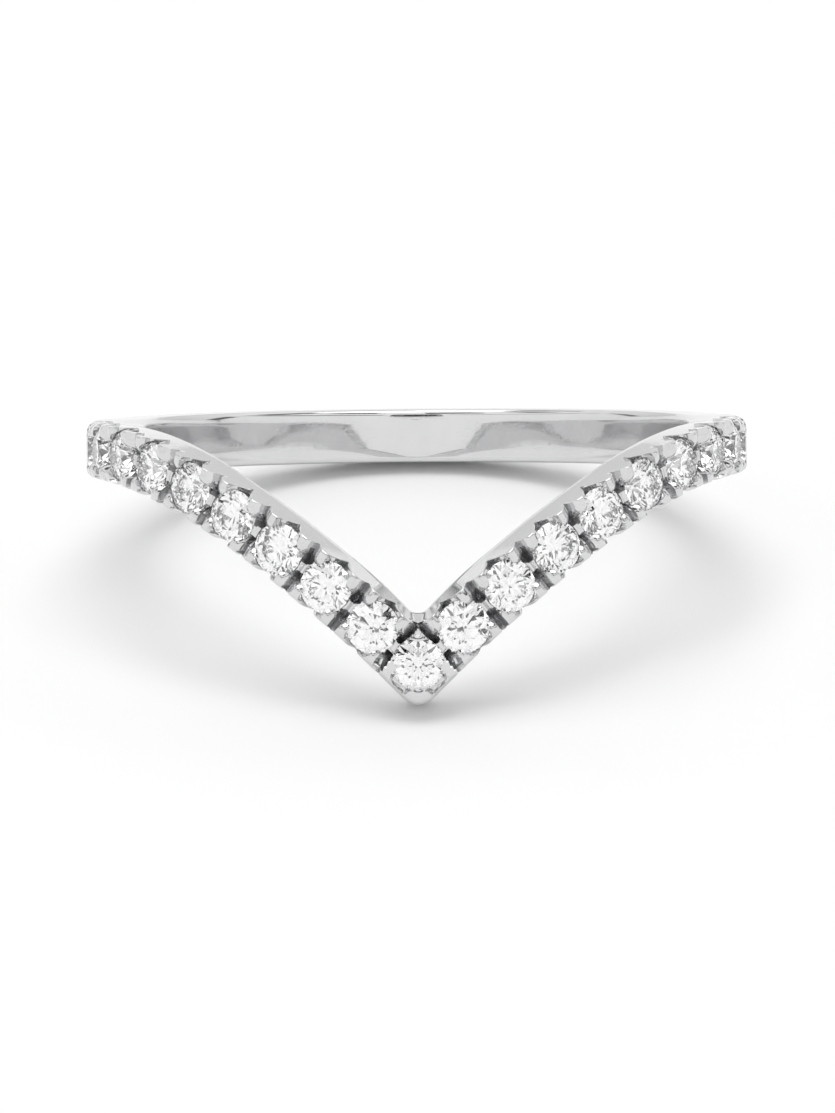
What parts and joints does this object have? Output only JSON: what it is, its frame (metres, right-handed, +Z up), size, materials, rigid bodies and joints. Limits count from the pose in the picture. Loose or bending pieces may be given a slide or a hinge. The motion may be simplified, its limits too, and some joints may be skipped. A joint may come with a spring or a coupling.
{
  "type": "chevron finger ring",
  "caption": "Slim polished white-metal finger ring whose front drops to a V point, with a single row of round brilliant stones held by paired prongs along both arms.",
  "frame": {"origin": "on the surface that the ring lies on, under the middle of its bounding box", "axes": "+Z up from that surface; -Y toward the chevron's point; X from one end of the stone row to the other. The finger's axis leans from +Z toward +Y by 19.5 degrees"},
  "size_m": [0.021, 0.022, 0.0067],
  "materials": {
    "white_gold": "mirror-polished white gold",
    "stone": "faceted colourless stone"
  },
  "bodies": {
    "root": {"band": "white_gold", "stone_point": "stone", "stone_left_1": "stone", "stone_left_2": "stone", "stone_left_3": "stone", "stone_left_4": "stone", "stone_left_5": "stone", "stone_left_6": "stone", "stone_left_7": "stone", "stone_left_8": "stone", "stone_left_9": "stone", "stone_right_1": "stone", "stone_right_2": "stone", "stone_right_3": "stone", "stone_right_4": "stone", "stone_right_5": "stone", "stone_right_6": "stone", "stone_right_7": "stone", "stone_right_8": "stone", "stone_right_9": "stone"}
  },
  "joints": []
}
